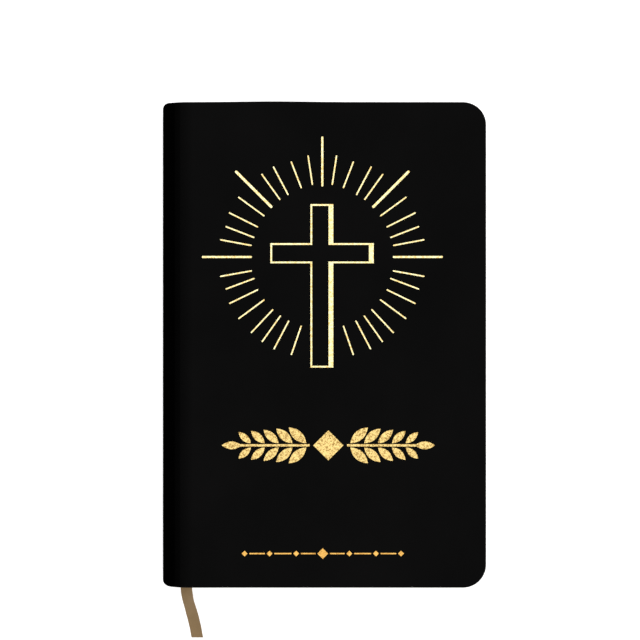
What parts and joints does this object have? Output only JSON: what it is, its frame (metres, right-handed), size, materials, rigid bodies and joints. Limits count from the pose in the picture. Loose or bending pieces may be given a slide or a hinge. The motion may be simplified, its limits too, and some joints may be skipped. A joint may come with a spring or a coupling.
{
  "type": "soft leather bible",
  "caption": "Closed soft-cover Bible with a rounded spine, opening covers and leaves, foil-stamped cross with rays, and a ribbon marker.",
  "frame": {"origin": "middle of the back cover's underside, the face the closed book rests on", "axes": "+Z out of the front cover, +X from the spine to the fore-edge, +Y from the tail to the head"},
  "size_m": [0.14, 0.2339, 0.0281],
  "materials": {
    "cover_leather": "matt black soft artificial leather with a fine grain",
    "cover_board": "thin flexible grey board",
    "endpaper": "smooth off-white endpaper",
    "bible_paper": "thin off-white bible paper",
    "lining_paper": "brown kraft lining",
    "mull_cloth": "open cotton mull",
    "headband_cloth": "striped woven band over a cord",
    "ribbon": "tan satin ribbon",
    "gold_foil": "pale gold hot-stamped foil"
  },
  "bodies": {
    "rear_half": {"rear_section_1": "bible_paper", "rear_section_2": "bible_paper", "rear_section_3": "bible_paper", "rear_section_4": "bible_paper", "rear_section_5": "bible_paper", "centre_leaf_rear": "bible_paper", "spine_leather_rear": "cover_leather", "spine_card_rear": "cover_board", "spine_lining_rear": "lining_paper", "mull_rear": "mull_cloth", "headband_rear": "headband_cloth", "tailband_rear": "headband_cloth", "ribbon_inner": "ribbon", "ribbon_tail": "ribbon"},
    "rear_flyleaf": {"rear_flyleaf": "endpaper"},
    "back_cover": {"back_cover_leather": "cover_leather", "back_board": "cover_board", "back_pastedown": "endpaper"},
    "front_half": {"centre_leaf_front": "bible_paper", "front_section_1": "bible_paper", "front_section_2": "bible_paper", "front_section_3": "bible_paper", "front_section_4": "bible_paper", "spine_leather_front": "cover_leather", "spine_card_front": "cover_board", "spine_lining_front": "lining_paper", "mull_front": "mull_cloth", "headband_front": "headband_cloth", "tailband_front": "headband_cloth"},
    "first_leaves": {"first_section": "bible_paper"},
    "front_flyleaf": {"front_flyleaf": "endpaper"},
    "front_cover": {"front_cover_leather": "cover_leather", "front_board": "cover_board", "front_pastedown": "endpaper", "foil_cross": "gold_foil", "foil_ornament": "gold_foil", "foil_rule": "gold_foil"}
  },
  "joints": [
    {"name": "middle_opening", "type": "hinge", "parent": "rear_half", "child": "front_half", "pos_m": [-0.0701, 0, 0.014], "axis": [0, -1, 0], "range_deg": [0, 179.99]},
    {"name": "first_leaves_turn", "type": "hinge", "parent": "front_half", "child": "first_leaves", "pos_m": [-0.059, 0, 0.0281], "axis": [0, -1, 0], "range_deg": [0, 179.99]},
    {"name": "front_flyleaf_turn", "type": "hinge", "parent": "first_leaves", "child": "front_flyleaf", "pos_m": [-0.059, 0, 0.0281], "axis": [0, -1, 0], "range_deg": [0, 179.99]},
    {"name": "front_cover_hinge", "type": "hinge", "parent": "front_flyleaf", "child": "front_cover", "pos_m": [-0.059, 0, 0.0281], "axis": [0, -1, 0], "range_deg": [0, 179.99]},
    {"name": "rear_flyleaf_turn", "type": "hinge", "parent": "rear_half", "child": "rear_flyleaf", "pos_m": [-0.059, 0, -0.0001], "axis": [0, -1, 0], "range_deg": [-179.99, 0]},
    {"name": "back_cover_hinge", "type": "hinge", "parent": "rear_flyleaf", "child": "back_cover", "pos_m": [-0.059, 0, -0.0001], "axis": [0, -1, 0], "range_deg": [-179.99, 0]}
  ]
}
